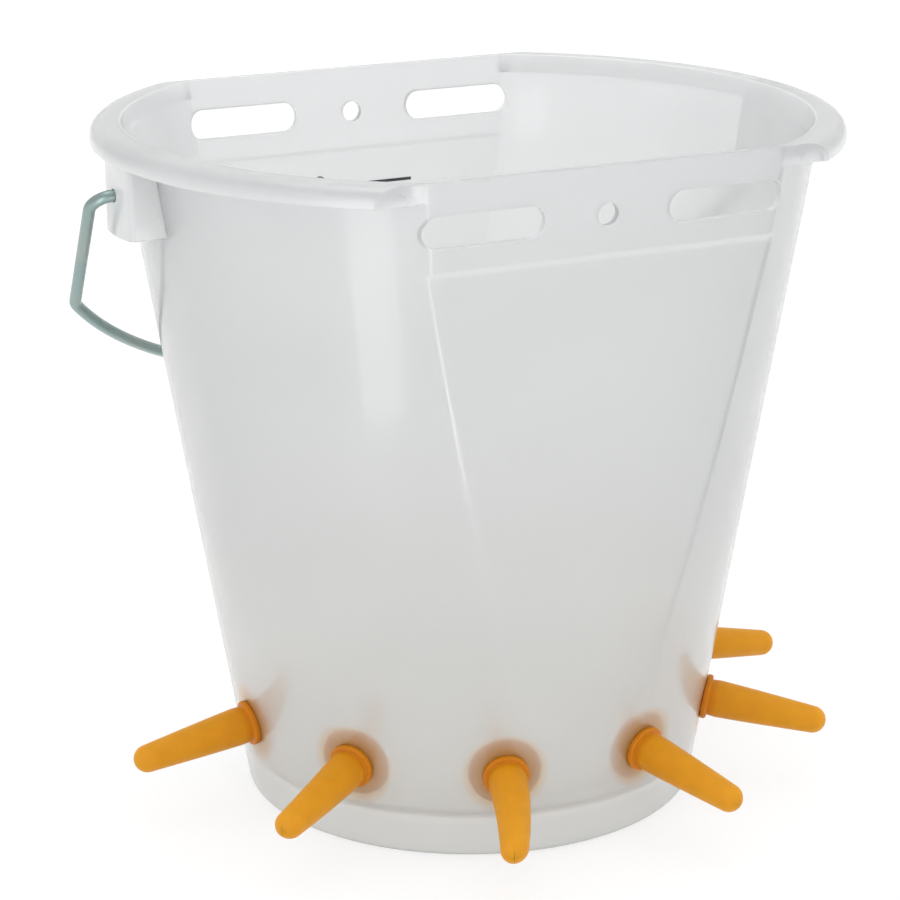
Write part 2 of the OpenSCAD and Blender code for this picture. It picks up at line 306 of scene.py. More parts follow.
def bucket_rows():
    """The rows under the lip, the rows of the lip, those of the flat band beside it, and the rows inside."""
    foot = corner(BASE_R, 0, FOOT_ROUND)
    foot_in = foot[0] - FOOT_LAND
    below = [ring_row(r, FOOT_H) for r in (*RECESS_RINGS, foot_in - FOOT_EDGE)]
    below += [ring_row(foot_in, FOOT_H - FOOT_EDGE), ring_row(foot_in, FOOT_EDGE)]
    below.append(ring_row(foot_in + FOOT_CHAMFER, 0))
    below += [ring_row(r, z) for r, z in arc(foot, FOOT_ROUND, -math.pi / 2, -WALL_LEAN)]
    ledge_low = PANEL_Z - 2 * LEDGE_SOFT
    ledge_high = PANEL_Z + LEDGE_H + 2 * LEDGE_SOFT
    heights = line(FOOT_ROUND + 2 * ROW_GAP, ROW_STEP, ledge_low - ROW_GAP)
    heights += line(ledge_low, LEDGE_SOFT, ledge_high) + line(ledge_high + ROW_GAP, ROW_STEP, LIP_Z)
    below += [wall_row(z, 0) for z in heights]

    quarter = [math.pi / 2 * i / ARC_STEPS for i in range(ARC_STEPS + 1)]
    edge = RIM_ROUND / WALL
    edge_z = BUCKET_H - RIM_ROUND
    top = [(edge * (1 - math.cos(a)), edge_z + RIM_ROUND * math.sin(a)) for a in quarter]
    beside_lip = [LIP_Z + RIM_ROUND] + line(LIP_Z, ROW_STEP / 2, edge_z)[1:-1]
    band = [wall_row(z, 0) for z in beside_lip] + [wall_row(z, d) for d, z in top[:-1]]
    hollow_round = (LIP_R - LIP_T - RIM_R - LIP_ROOT) / 2 - RIM_ROUND
    rim_r = faces_at(BUCKET_H, edge)[0]
    skin = rounded([
        (wall_r(LIP_Z), LIP_Z, 0),
        (RIM_R + LIP_ROOT, LIP_Z, RIM_ROUND),
        (RIM_R + LIP_ROOT, BUCKET_H - LIP_TOP, hollow_round),
        (LIP_R - LIP_T, BUCKET_H - LIP_TOP, hollow_round),
        (LIP_R - LIP_T, LIP_Z, RIM_ROUND),
        (LIP_R, LIP_Z, RIM_ROUND),
        (LIP_R, BUCKET_H, LIP_ROUND),
        (rim_r, BUCKET_H, 0),
    ])
    lip = [lip_row(r, z) for r, z in skin[1:-1]]

    inside = [wall_row(z, 1 - d) for d, z in reversed(top)]
    inside.insert(0, wall_row(BUCKET_H, edge))
    fillet = corner(wall_r(FLOOR_Z) - WALL_ACROSS, FLOOR_Z, FLOOR_FILLET)
    inside += [wall_row(z, 1) for z in line(edge_z, ROW_STEP, FLOOR_Z + FLOOR_FILLET + ROW_GAP)[1:]]
    inside += [ring_row(r, z) for r, z in arc(fillet, FLOOR_FILLET, -WALL_LEAN, -math.pi / 2)]
    inside += [ring_row(r, FLOOR_Z) for r in FLOOR_RINGS]
    return below, lip, band, inside


def add_grid(bm, rows):
    """Faces between rows of points, all of one length."""
    grid = [[bm.verts.new(p * MM) for p in row] for row in rows]
    for low, high in zip(grid, grid[1:]):
        for j in range(len(low) - 1):
            bm.faces.new((low[j], low[j + 1], high[j + 1], high[j]))


def add_face(bm, points):
    bm.faces.new([bm.verts.new(p * MM) for p in points])


def set_back(point):
    """A point at a corner of the wall, moved round to the plane where the lip ends."""
    y = flat_y(point.z) - LIP_BACK
    x = math.sqrt(point.x ** 2 + point.y ** 2 - y ** 2)
    return Vector((math.copysign(x, point.x), math.copysign(y, point.y), point.z))


def bucket_wall():
    """The wall, floor and lip as one closed skin, before the holes are cut."""
    bm = bmesh.new()
    below, lip, band, inside = bucket_rows()
    for name in ("right", "left"):
        add_grid(bm, [row[name] for row in below + lip + inside])
    for name in ("back", "front"):
        add_grid(bm, [row[name] for row in below + band + inside])
    for side, end, flat, start in (("right", -1, "back", 0), ("left", 0, "back", -1),
                                   ("left", -1, "front", 0), ("right", 0, "front", -1)):
        skin = [row[side][end] for row in lip]
        edge = [row[flat][start] for row in [below[-1]] + band + [inside[0]]]
        under_round = len(band) - ARC_STEPS + 1
        upright = edge[1:under_round + 1]
        behind = [set_back(point) for point in upright]
        add_grid(bm, [upright, behind])
        add_face(bm, skin + behind[::-1])
        low_fan = [behind[0], edge[1], edge[0]]
        high_fan = [behind[-1]] + edge[under_round:]
        for tip, fan in ((skin[0], low_fan), (skin[-1], high_fan)):
            for first, second in zip(fan, fan[1:]):
                add_face(bm, [tip, first, second])
    order = ("right", "back", "left", "front")
    for row in (below[0], inside[-1]):
        add_face(bm, [p for name in order for p in row[name][:-1]])
    bmesh.ops.remove_doubles(bm, verts=bm.verts, dist=WELD * MM)
    bmesh.ops.recalc_face_normals(bm, faces=bm.faces)
    return bm


def prism(bm, outline, low, high, place):
    """A closed prism on an outline, from low to high along its own Z, put in place by a matrix."""
    ends = [[bm.verts.new((place @ Vector((x, y, z))) * MM) for x, y in outline] for z in (low, high)]
    bm.faces.new(list(reversed(ends[0])))
    bm.faces.new(ends[1])
    for i in range(len(outline)):
        j = (i + 1) % len(outline)
        bm.faces.new((ends[0][i], ends[0][j], ends[1][j], ends[1][i]))


def circle(diameter, steps=48):
    return [(x, y) for x, y in arc((0, 0), diameter / 2, 0, 2 * math.pi, steps)[:-1]]


def stadium(length, width, steps=16):
    reach = (length - width) / 2
    right = arc((reach, 0), width / 2, -math.pi / 2, math.pi / 2, steps)
    left = arc((-reach, 0), width / 2, math.pi / 2, 3 * math.pi / 2, steps)
    return right + left


def mesh_object(name, bm, sharp=35):
    """A smooth-shaded object from a bmesh, with edges over an angle kept sharp."""
    mesh = bpy.data.meshes.new(name)
    bm.to_mesh(mesh)
    bm.free()
    mesh.shade_smooth()
    mesh.set_sharp_from_angle(angle=math.radians(sharp))
    piece = bpy.data.objects.new(name, mesh)
    bpy.context.scene.collection.objects.link(piece)
    return piece


def combine(bm, other_bm, operation):
    """The first mesh with the second one cut out of it or joined to it."""
    body = mesh_object("body", bm)
    other = mesh_object("other", other_bm)
    boolean = body.modifiers.new("combine", "BOOLEAN")
    boolean.operation = operation
    boolean.solver = "EXACT"
    boolean.object = other
    evaluated = body.evaluated_get(bpy.context.evaluated_depsgraph_get())
    result = bmesh.new()
    result.from_mesh(evaluated.to_mesh())
    evaluated.to_mesh_clear()
    for piece in (body, other):
        mesh = piece.data
        bpy.data.objects.remove(piece)
        bpy.data.meshes.remove(mesh)
    return result


def teat_place(i):
    """Matrix of a teat: its Z goes outward along the axis, from the outer face of the wall. Millimetres."""
    low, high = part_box(f"valve_ball_{i}")
    inward = Vector(joints[f"valve_{i}_slide"]["axis"])
    outward = -inward.normalized()
    level = Vector((0, 0, 1)).cross(outward).normalized()
    down = level.cross(outward)
    base = (low + high) / 2 / MM - outward * BALL_REST
    return Matrix((
        (down.x, level.x, outward.x, base.x),
        (down.y, level.y, outward.y, base.y),
        (down.z, level.z, outward.z, base.z),
        (0, 0, 0, 1),
    ))


def bucket_holes():
    """The hanging slots, the peg holes and the teat holes, as solids to cut away."""
    bm = bmesh.new()
    across = Matrix.Translation((0, 0, SLOT_Z)) @ Matrix.Rotation(math.pi / 2, 4, "X")
    for x in (-SLOT_SPACING / 2, SLOT_SPACING / 2):
        prism(bm, [(x + u, v) for u, v in stadium(SLOT_L, SLOT_W)], -LIP_R, LIP_R, across)
    prism(bm, circle(PEG_D), -LIP_R, LIP_R, across)
    for i in range(1, TEAT_COUNT + 1):
        prism(bm, circle(HOLE_D), -2 * WALL, 2 * WALL, teat_place(i))
    bmesh.ops.recalc_face_normals(bm, faces=bm.faces)
    return bm


def ear_outline(margin, inside, inset):
    """One face of an ear's wall in plan, from inside the bucket wall round the bowed front. Runs along +Y."""
    bow_x = LIP_R - inset - EAR_BOW_R
    bow_r = EAR_BOW_R - margin
    half = EAR_W / 2 - margin
    rounding = max(EAR_ROUND - margin, RIM_ROUND)
    turn = math.asin((half - rounding) / (bow_r - rounding))
    middle = (bow_x + (bow_r - rounding) * math.cos(turn), half - rounding)
    low = arc((middle[0], -middle[1]), rounding, -math.pi / 2, -turn)
    high = arc(middle, rounding, turn, math.pi / 2)
    bow = arc((bow_x, 0), bow_r, -turn, turn)[1:-1]
    return [(inside, -half)] + low + bow + high + [(inside, half)]


def ears():
    """Two hollow ears, open below, whose wall runs up into the lip."""
    bm = bmesh.new()
    levels = ((EAR_Z, EAR_INSET), (BUCKET_H - LIP_ROUND, EAR_INSET), (BUCKET_H - LIP_TOP / 2, LIP_TOP))
    for side in (1, -1):
        rows = []
        for z, inset in levels:
            inside = wall_r(z) - WALL / 2
            ring = ear_outline(0, inside, inset) + ear_outline(EAR_T, inside, inset)[::-1]
            rows.append([bm.verts.new(Vector((x * side, y * side, z)) * MM) for x, y in ring])
        bm.faces.new(rows[0])
        bm.faces.new(rows[-1])
        for low, high in zip(rows, rows[1:]):
            for i in range(len(low)):
                j = (i + 1) % len(low)
                bm.faces.new((low[i], low[j], high[j], high[i]))
    bmesh.ops.recalc_face_normals(bm, faces=bm.faces)
    low_edges = [e for e in bm.edges if all(abs(v.co.z - EAR_Z * MM) < WELD * MM for v in e.verts)]
    bmesh.ops.bevel(bm, geom=low_edges, offset=RIM_ROUND * MM, segments=3, profile=0.5, affect="EDGES")
    bore = bmesh.new()
    pivot = Vector(joints["bail_swing"]["pos_m"]) / MM
    prism(bore, circle(EAR_BORE), -LIP_R - WALL, LIP_R + WALL,
          Matrix.Translation(pivot) @ Matrix.Rotation(math.pi / 2, 4, "Y"))
    return combine(bm, bore, "DIFFERENCE")


def lip_webs():
    """Thin webs across the lip's hollow, a little behind its four ends."""
    bm = bmesh.new()
    inner, outer = RIM_R + LIP_ROOT - WEB_SINK, LIP_R - LIP_T + WEB_SINK
    top = BUCKET_H - LIP_TOP + WEB_SINK
    rounding = (outer - inner) / 2 - WEB_SINK
    outline = rounded([(inner, LIP_Z, 0), (inner, top, rounding), (outer, top, rounding), (outer, LIP_Z, 0)])
    for right, back in ((1, 1), (1, -1), (-1, 1), (-1, -1)):
        ends = []
        for depth in (WEB_BACK, WEB_BACK + WEB_T):
            row = []
            for r, z in outline:
                y = flat_y(z) - LIP_BACK - depth
                row.append(bm.verts.new(Vector((right * math.sqrt(r * r - y * y), back * y, z)) * MM))
            ends.append(row)
        for row in ends:
            bm.faces.new(row)
        for i in range(len(outline)):
            j = (i + 1) % len(outline)
            bm.faces.new((ends[0][i], ends[0][j], ends[1][j], ends[1][i]))
    bmesh.ops.recalc_face_normals(bm, faces=bm.faces)
    return bm


def make_bucket(material):
    """The bucket: wall and lip with their holes, the ears, and the webs that close the lip's hollow."""
    bm = combine(bucket_wall(), bucket_holes(), "DIFFERENCE")
    bm = combine(bm, ears(), "UNION")
    bm = combine(bm, lip_webs(), "UNION")
    piece = mesh_object("bucket_moulding", bm)
    finish_piece(piece, material, "bucket", "bucket_plastic", "bucket")


def stroke(bm, path, width, place, closed=False):
    """A flat stroke of ink along a path, put in place by a matrix."""
    section = [(-width / 2, -MARK_T / 2), (width / 2, -MARK_T / 2), (width / 2, MARK_T), (-width / 2, MARK_T)]
    points = [Vector((x, y, 0)) for x, y in path]
    count = len(points)
    rows = []
    for i, point in enumerate(points):
        ahead = points[(i + 1) % count if closed else min(i + 1, count - 1)]
        behind = points[i - 1 if closed else max(i - 1, 0)]
        across = (ahead - behind).normalized().cross(Vector((0, 0, 1)))
        corners = [point + across * u + Vector((0, 0, v)) for u, v in section]
        rows.append([bm.verts.new((place @ corner_point) * MM) for corner_point in corners])
    for low, high in zip(rows, rows[1:] + rows[:1] if closed else rows[1:]):
        for j in range(len(section)):
            k = (j + 1) % len(section)
            bm.faces.new((low[j], low[k], high[k], high[j]))
    if not closed:
        bm.faces.new(rows[0])
        bm.faces.new(rows[-1])


def make_level_mark(material):
    """The printed level mark, a thin layer of ink on the inner face of the back panel."""
    bm = bmesh.new()
    panel = Matrix.Translation((0, flat_inner_y(MARK_Z), MARK_Z))
    panel @= Matrix.Rotation(math.pi / 2 - PANEL_LEAN, 4, "X")
    digit = panel @ Matrix.Translation((DIGIT_X, BOWL_Y, 0))
    stroke(bm, [(MARK_FROM, 0), (MARK_TO, 0)], MARK_W, panel)
    stroke(bm, circle(2 * BOWL_R, BOWL_STEPS), DIGIT_W, digit, closed=True)
    stroke(bm, arc((BOWL_R - TAIL_R, 0), TAIL_R, 0, -TAIL_TURN, 2 * ARC_STEPS), DIGIT_W, digit)
    bmesh.ops.recalc_face_normals(bm, faces=bm.faces)
    finish_piece(mesh_object("level_mark", bm), material, "bucket", "bucket_plastic")


def finish_piece(piece, material, body, slot, *replaced):
    """Dresses a piece, and puts it on its body in place of its nodes."""
    piece.data.materials.clear()
    piece.data.materials.append(material)
    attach(piece, body)
    if replaced:
        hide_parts(*replaced)


# Bail
def bail_line():
    """The middle line of the wire in the bail's plane: X along the pivot, Y away from it."""
    bow_y = BAIL_REACH - BOW_R
    stub_x = LEG_X - STUB_BEND / math.cos(LEG_LEAN) - STUB_BEND * math.tan(LEG_LEAN)
    inner_x = LEG_X - BOW_BEND / math.cos(LEG_LEAN)
    lean = math.tan(LEG_LEAN)
    a = 1 + lean * lean
    b = inner_x * lean + bow_y
    c = inner_x ** 2 + bow_y ** 2 - (BOW_R - BOW_BEND) ** 2
    bend_y = (b + math.sqrt(b * b - a * c)) / a
    bend = (inner_x - bend_y * lean, bend_y)
    bow_start = math.atan2(bend_y - bow_y, bend[0])
    pivot_z = joints["bail_swing"]["pos_m"][2] / MM
    half = [(wall_r(pivot_z) + STUB_GAP, 0)]
    half += arc((stub_x, STUB_BEND), STUB_BEND, -math.pi / 2, LEG_LEAN, 2 * ARC_STEPS)
    half += arc(bend, BOW_BEND, LEG_LEAN, bow_start, 2 * ARC_STEPS)
    bow = arc((0, bow_y), BOW_R, bow_start, math.pi - bow_start, 2 * TURN_STEPS)
    return half + bow[1:-1] + [(-x, y) for x, y in reversed(half)]


def make_bail(material):
    """The bent wire, swept along its line, with chamfered ends."""
    pivot = Vector(joints["bail_swing"]["pos_m"]) / MM
    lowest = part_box("bail")[0].z / MM
    lean = math.acos((pivot.z - lowest - WIRE_D / 2) / BAIL_REACH)
    place = Matrix.Translation(pivot) @ Matrix.Rotation(lean - math.pi / 2, 4, "X")
    points = [Vector((x, y)) for x, y in bail_line()]
    ends = [(points[1] - points[0]).normalized(), (points[-2] - points[-1]).normalized()]
    points[1:1] = [points[0] + ends[0] * WIRE_CHAMFER]
    points[-1:-1] = [points[-1] + ends[1] * WIRE_CHAMFER]
    bm = bmesh.new()
    rings = []
    for i, point in enumerate(points):
        along = (points[min(i + 1, len(points) - 1)] - points[max(i - 1, 0)]).normalized()
        across = Vector((-along.y, along.x, 0))
        radius = WIRE_D / 2 - (WIRE_CHAMFER if i in (0, len(points) - 1) else 0)
        ring = []
        for x, y in circle(2 * radius, TURN_STEPS // 2):
            ring.append(bm.verts.new((place @ (point.to_3d() + across * x + Vector((0, 0, y)))) * MM))
        rings.append(ring)
    for low, high in zip(rings, rings[1:]):
        for j in range(len(low)):
            k = (j + 1) % len(low)
            bm.faces.new((low[j], low[k], high[k], high[j]))
    bm.faces.new(list(reversed(rings[0])))
    bm.faces.new(rings[-1])
    bmesh.ops.recalc_face_normals(bm, faces=bm.faces)
    piece = mesh_object("bail_wire", bm)
    finish_piece(piece, material, "bail", "bail_wire", "bail")


# Teats
def teat_profile():
    """A teat from the end of its bore round the flange, neck and collar to its tip."""
    base_r = TEAT_BASE_D / 2
    tip_r = TEAT_TIP_D / 2
    neck_r = HOLE_D / 2 - SEAT_GAP
    face = -(WALL + SEAT_GAP)
    body_from = COLLAR_T + SHOULDER
    body_to = TEAT_L - tip_r
    # Each corner's distance from the axis, place along it and rounding
    start = rounded([
        (0, BORE_END, 0),
        (BORE_TIP_D / 2, BORE_END, BORE_TIP_D / 2 - 0.2),
        (BORE_TIP_D / 2 + BORE_TAPER, VALVE_END + TEAT_BORE_D / 2, 0),
        (TEAT_BORE_D / 2, VALVE_END, 0),
        (TEAT_BORE_D / 2, -WALL - FLANGE_T, 0.4),
        (FLANGE_D / 2, -WALL - FLANGE_T, 1.4),
        (FLANGE_D / 2, face, 0.6),
        (neck_r, face, 0.3),
        (neck_r, SEAT_GAP, 0.3),
        (COLLAR_D / 2, SEAT_GAP, 0.5),
        (COLLAR_D / 2, COLLAR_T, 0.9),
        (base_r - 0.5, COLLAR_T + 0.2, 0.5),
        (base_r - 0.2, body_from, 0),
    ])
    body = []
    for z in line(body_from, BODY_STEP, body_to)[1:]:
        share = (z - body_from) / (body_to - body_from)
        body.append((tip_r + (base_r - tip_r) * (1 - share ** BODY_CURVE), z))
    return start + body + arc((0, body_to), tip_r, 0, math.pi / 2, 2 * ARC_STEPS)[1:]


# How far each tip is bent off its axis, down and to the right when seen from outside
TEAT_BENDS = ((0, 0), (0, -2), (3.5, -5), (0, 0), (0, 0), (0, 0))


def make_teat(i, material):
    """One teat, whose flange and collar follow the round wall."""
    bm = bmesh.new()
    place = teat_place(i)
    rings = []
    for r, z in teat_profile():
        rings.append([bm.verts.new(Vector((x, y, z)) * MM) for x, y in circle(2 * r, TURN_STEPS)])
    for low, high in zip(rings, rings[1:]):
        for k in range(TURN_STEPS):
            j = (k + 1) % TURN_STEPS
            bm.faces.new((low[k], low[j], high[j], high[k]))
    bmesh.ops.remove_doubles(bm, verts=bm.verts, dist=FINE_WELD * MM)
    bmesh.ops.recalc_face_normals(bm, faces=bm.faces)
    slits = bmesh.new()
    arm = [(SLIT_L / 2, -SLIT_W / 2), (SLIT_L / 2, SLIT_W / 2), (SLIT_W / 2, SLIT_W / 2)]
    turns = [Matrix.Rotation(math.pi / 2 * quarter, 2) for quarter in range(4)]
    cross = [turn @ Vector(point) for turn in turns for point in arm]
    prism(slits, [tuple(point) for point in cross], BORE_END - SLIT_PAST, TEAT_L + SLIT_PAST, Matrix())
    bmesh.ops.recalc_face_normals(slits, faces=slits.faces)
    bm = combine(bm, slits, "DIFFERENCE")
    hold = wall_r(place.translation.z)
    for vert in bm.verts:
        x, y, z = vert.co / MM
        sag = (1 - smooth_step((z - COLLAR_T) / COLLAR_T)) * y * y / (2 * hold)
        reach = max(z, 0) / TEAT_L
        shift = Vector(TEAT_BENDS[i - 1]) * reach ** 2
        vert.co = Vector((x + shift.x, y + shift.y, z - sag)) * MM
    piece = mesh_object(f"latex_teat_{i}", bm, sharp=50)
    piece.matrix_world = Matrix.Translation(place.translation * MM) @ place.to_3x3().to_4x4()
    finish_piece(piece, material, "bucket", "teat_rubber", f"teat_{i}")


# Materials
def new_material(name, **settings):
    """A material of one Principled shader, with constants set on its own sockets."""
    material = bpy.data.materials.new(name)
    material.use_nodes = True
    shader = material.node_tree.nodes["Principled BSDF"]
    for socket, value in settings.items():
        shader.inputs[socket.replace("_", " ")].default_value = value
    return material, material.node_tree, shader


def add_node(tree, kind, **settings):
    node = tree.nodes.new(kind)
    for key, value in settings.items():
        setattr(node, key, value)
    return node


def noise(tree, scale, detail=4, stretch=(1, 1, 1)):
    """A noise texture in the piece's own space, stretched along its axes."""
    place = add_node(tree, "ShaderNodeTexCoord")
    mapping = add_node(tree, "ShaderNodeMapping")
    mapping.inputs["Scale"].default_value = stretch
    texture = add_node(tree, "ShaderNodeTexNoise")
    texture.inputs["Scale"].default_value = scale
    texture.inputs["Detail"].default_value = detail
    tree.links.new(place.outputs["Object"], mapping.inputs["Vector"])
    tree.links.new(mapping.outputs["Vector"], texture.inputs["Vector"])
    return texture.outputs["Fac"]


def remap(tree, value, low, high, start=0.3, end=0.7):
    """A value from start..end taken to low..high."""
    node = add_node(tree, "ShaderNodeMapRange")
    for socket, number in (("From Min", start), ("From Max", end), ("To Min", low), ("To Max", high)):
        node.inputs[socket].default_value = number
    tree.links.new(value, node.inputs["Value"])
    return node.outputs["Result"]


def ramp(tree, value, stops):
    """Colours along a value, from (place, colour) stops."""
    node = add_node(tree, "ShaderNodeValToRGB")
    elements = node.color_ramp.elements
    while len(elements) < len(stops):
        elements.new(0.5)
    for element, (place, colour) in zip(elements, stops):
        element.position = place
        element.color = (*colour, 1)
    tree.links.new(value, node.inputs["Fac"])
    return node.outputs["Color"]


def bump(tree, shader, height, strength, distance):
    node = add_node(tree, "ShaderNodeBump")
    node.inputs["Strength"].default_value = strength
    node.inputs["Distance"].default_value = distance
    tree.links.new(height, node.inputs["Height"])
    tree.links.new(node.outputs["Normal"], shader.inputs["Normal"])


def calc(tree, operation, *values):
    """The result of a Math node on numbers or other nodes' results."""
    node = add_node(tree, "ShaderNodeMath", operation=operation)
    for socket, value in zip(node.inputs, values):
        if isinstance(value, (int, float)):
            socket.default_value = value
        else:
            tree.links.new(value, socket)
    return node.outputs[0]


def point_in(tree):
    """The three coordinates of a point in the piece's own space, in metres."""
    place = add_node(tree, "ShaderNodeTexCoord")
    split = add_node(tree, "ShaderNodeSeparateXYZ")
    tree.links.new(place.outputs["Object"], split.inputs["Vector"])
    return split.outputs["X"], split.outputs["Y"], split.outputs["Z"]


def distance(tree, a, b):
    """Length of the hypotenuse over two sides."""
    return calc(tree, "SQRT", calc(tree, "ADD", calc(tree, "MULTIPLY", a, a), calc(tree, "MULTIPLY", b, b)))


# Share of the light that goes through the plastic: up the wall as shares of its height, and in thicker places
WALL_CLEAR = (
    (0.0, 0.75), (0.045, 0.75), (0.058, 0.52), (0.076, 0.52), (0.09, 0.66), (0.28, 0.64), (0.45, 0.74),
    (0.8, 0.76), (0.88, 0.74), (0.99, 0.73), (1.0, 0.66))
LIP_CLEAR = 0.57
EAR_CLEAR = 0.22
BACKED_CLEAR = 0.22
LEDGE_CLEAR = 0.48
SLOT_EDGE_CLEAR = 0.3
LOW_ROUGH = 0.31
HIGH_ROUGH = 0.32
TEAT_STEP = math.radians(36)

# Widths over which the looks fade from one to another, in millimetres
FLANGE_GLOW_FADE = 4
LEDGE_FADE = 1
LIP_FADE = 2
SLOT_FADE = (0.1, 0.5)
SKIN_FADE = (0.06, 0.2)
WIRE_FADE = 20
ROUGH_FROM = 60
ROUGH_TO = 130


def grey_stops(pairs):
    return [(place, (share, share, share)) for place, share in pairs]


def mix_floats(tree, factor, a, b):
    node = add_node(tree, "ShaderNodeMix", data_type="FLOAT")
    tree.links.new(factor, node.inputs["Factor"])
    for socket, value in (("A", a), ("B", b)):
        if isinstance(value, (int, float)):
            node.inputs[socket].default_value = value
        else:
            tree.links.new(value, node.inputs[socket])
    return node.outputs["Result"]


def product(tree, a, b):
    """One colour multiplied by another."""
    node = add_node(tree, "ShaderNodeMix", data_type="RGBA", blend_type="MULTIPLY")
    node.inputs["Factor"].default_value = 1
    tree.links.new(a, node.inputs["A"])
    tree.links.new(b, node.inputs["B"])
    return node.outputs["Result"]


def painted_flange_glow(tree, x, y, z):
    """1 where the flange of a teat lies behind the wall, fading out round it: the mask of the painted light,
    the flanges' orange glow seen through the wall.
    """
    hole_z = teat_place(1).translation.z
    turns = calc(tree, "DIVIDE", calc(tree, "ARCTAN2", y, x), TEAT_STEP)
    off = calc(tree, "SUBTRACT", turns, calc(tree, "ROUND", turns))
    along = calc(tree, "MULTIPLY", off, TEAT_STEP * wall_r(hole_z) * MM)
    away = distance(tree, along, calc(tree, "SUBTRACT", z, hole_z * MM))
    glow = remap(tree, away, 1, 0, COLLAR_D / 2 * MM, (FLANGE_D / 2 + FLANGE_GLOW_FADE) * MM)
    return calc(tree, "MULTIPLY", glow, calc(tree, "LESS_THAN", y, FLANGE_D * MM))


def front_ledge(tree, y, z):
    """1 on the ledge under the front band, where the wall thickens."""
    outer_y = -(PANEL_Y - WALL / 3) * MM
    start = remap(tree, z, 0, 1, (PANEL_Z - LEDGE_FADE) * MM, PANEL_Z * MM)
    top = PANEL_Z + LEDGE_H
    end = remap(tree, z, 1, 0, top * MM, (top + LEDGE_FADE) * MM)
    both = calc(tree, "MULTIPLY", start, end)
    return calc(tree, "MULTIPLY", both, calc(tree, "LESS_THAN", y, outer_y))


def backed_wall(tree, y, z, beyond):
    """1 on the inner face of the round wall where an ear or the lip lies behind it."""
    off_middle = calc(tree, "ABSOLUTE", y)
    near_ears = remap(tree, off_middle, 1, 0, EAR_W / 2 * MM, 2 * EAR_W * MM)
    over_ears = remap(tree, z, 0, 1, (EAR_Z - EAR_W) * MM, (EAR_Z + EAR_W / 4) * MM)
    over_lip = remap(tree, z, 0, 1, (LIP_Z - LIP_FADE) * MM, LIP_Z * MM)
    flat_from = flat_inner_y(LIP_Z) - RIM_ROUND
    round_wall = remap(tree, off_middle, 1, 0, (flat_from - WALL) * MM, flat_from * MM)
    backed = calc(tree, "MAXIMUM", calc(tree, "MULTIPLY", near_ears, over_ears),
                  calc(tree, "MULTIPLY", round_wall, over_lip))
    return calc(tree, "MULTIPLY", backed, remap(tree, beyond, 1, 0, -WALL * MM, -WALL / 2 * MM))


def slot_edge(tree, x, z):
    """1 at the round ends of the hanging slots' edges, and less along their straight stretches."""
    along = calc(tree, "ABSOLUTE", calc(tree, "SUBTRACT", calc(tree, "ABSOLUTE", x), SLOT_SPACING / 2 * MM))
    past = calc(tree, "MAXIMUM", calc(tree, "SUBTRACT", along, (SLOT_L - SLOT_W) / 2 * MM), 0.0)
    away = distance(tree, past, calc(tree, "SUBTRACT", z, SLOT_Z * MM))
    edge = remap(tree, away, 1, 0, *[(SLOT_W / 2 + past_edge) * MM for past_edge in SLOT_FADE])
    return calc(tree, "MULTIPLY", edge, remap(tree, past, 0.3, 1, 0, SLOT_W / 4 * MM))


def bucket_plastic():
    """Natural polypropylene: hazy through the wall, glossy on its face, milky in thick places."""
    material, tree, shader = new_material(
        "natural_polypropylene", IOR=1.49, Coat_Weight=0.65, Coat_Roughness=0.08, Coat_IOR=1.5)
    x, y, z = point_in(tree)
    level = remap(tree, z, 0, 1, 0, BUCKET_H * MM)
    # Painted light and shade in the base colour: darker on the foot next to the floor, lightest on the low
    # wall about a tenth of the way up, and a little bluer at the top; the plastic itself is even.
    colour = ramp(tree, level, (
        (0.0, (0.85, 0.855, 0.835)), (0.05, (0.85, 0.855, 0.835)), (0.06, (0.92, 0.92, 0.895)),
        (0.12, (0.985, 0.985, 0.965)), (0.45, (0.955, 0.965, 0.96)), (1.0, (0.955, 0.965, 0.972))))
    # Painted light: the orange glow and shade of the teat flanges behind the wall, tinted into its base
    # colour.
    painted_flange_tint = ramp(tree, painted_flange_glow(tree, x, y, z), (
        (0.0, (1, 1, 1)), (0.5, (0.98, 0.79, 0.58)), (1.0, (0.95, 0.6, 0.2))))
    tree.links.new(product(tree, colour, painted_flange_tint), shader.inputs["Base Color"])
    round_wall = remap(tree, z, BASE_R * MM, RIM_R * MM, 0, BUCKET_H * MM)
    beyond = calc(tree, "SUBTRACT", distance(tree, x, y), round_wall)
    thick_clear = remap(tree, z, EAR_CLEAR, LIP_CLEAR, LIP_Z * MM, (BUCKET_H - LIP_TOP) * MM)
    over_lip = remap(tree, z, 0, 1, (LIP_Z - RIM_ROUND) * MM, LIP_Z * MM)
    on_lip = remap(tree, beyond, 0, 1, -LIP_BACK * MM, -LIP_BACK / 3 * MM)
    on_skin = remap(tree, beyond, 0, 1, *[depth * MM for depth in SKIN_FADE])
    outside = calc(tree, "MAXIMUM", on_skin, calc(tree, "MULTIPLY", over_lip, on_lip))
    clear = mix_floats(tree, outside, ramp(tree, level, grey_stops(WALL_CLEAR)), thick_clear)
    clear = mix_floats(tree, backed_wall(tree, y, z, beyond), clear, BACKED_CLEAR)
    clear = mix_floats(tree, front_ledge(tree, y, z), clear, LEDGE_CLEAR)
    clear = mix_floats(tree, slot_edge(tree, x, z), clear, SLOT_EDGE_CLEAR)
    tree.links.new(clear, shader.inputs["Transmission Weight"])
    rough = remap(tree, z, LOW_ROUGH, HIGH_ROUGH, ROUGH_FROM * MM, ROUGH_TO * MM)
    rough = calc(tree, "MULTIPLY", rough, remap(tree, noise(tree, 35, 5), 0.92, 1.08))
    tree.links.new(rough, shader.inputs["Roughness"])
    bump(tree, shader, noise(tree, 60, 3, (1, 1, 4)), 0.06, 0.001)
    return material


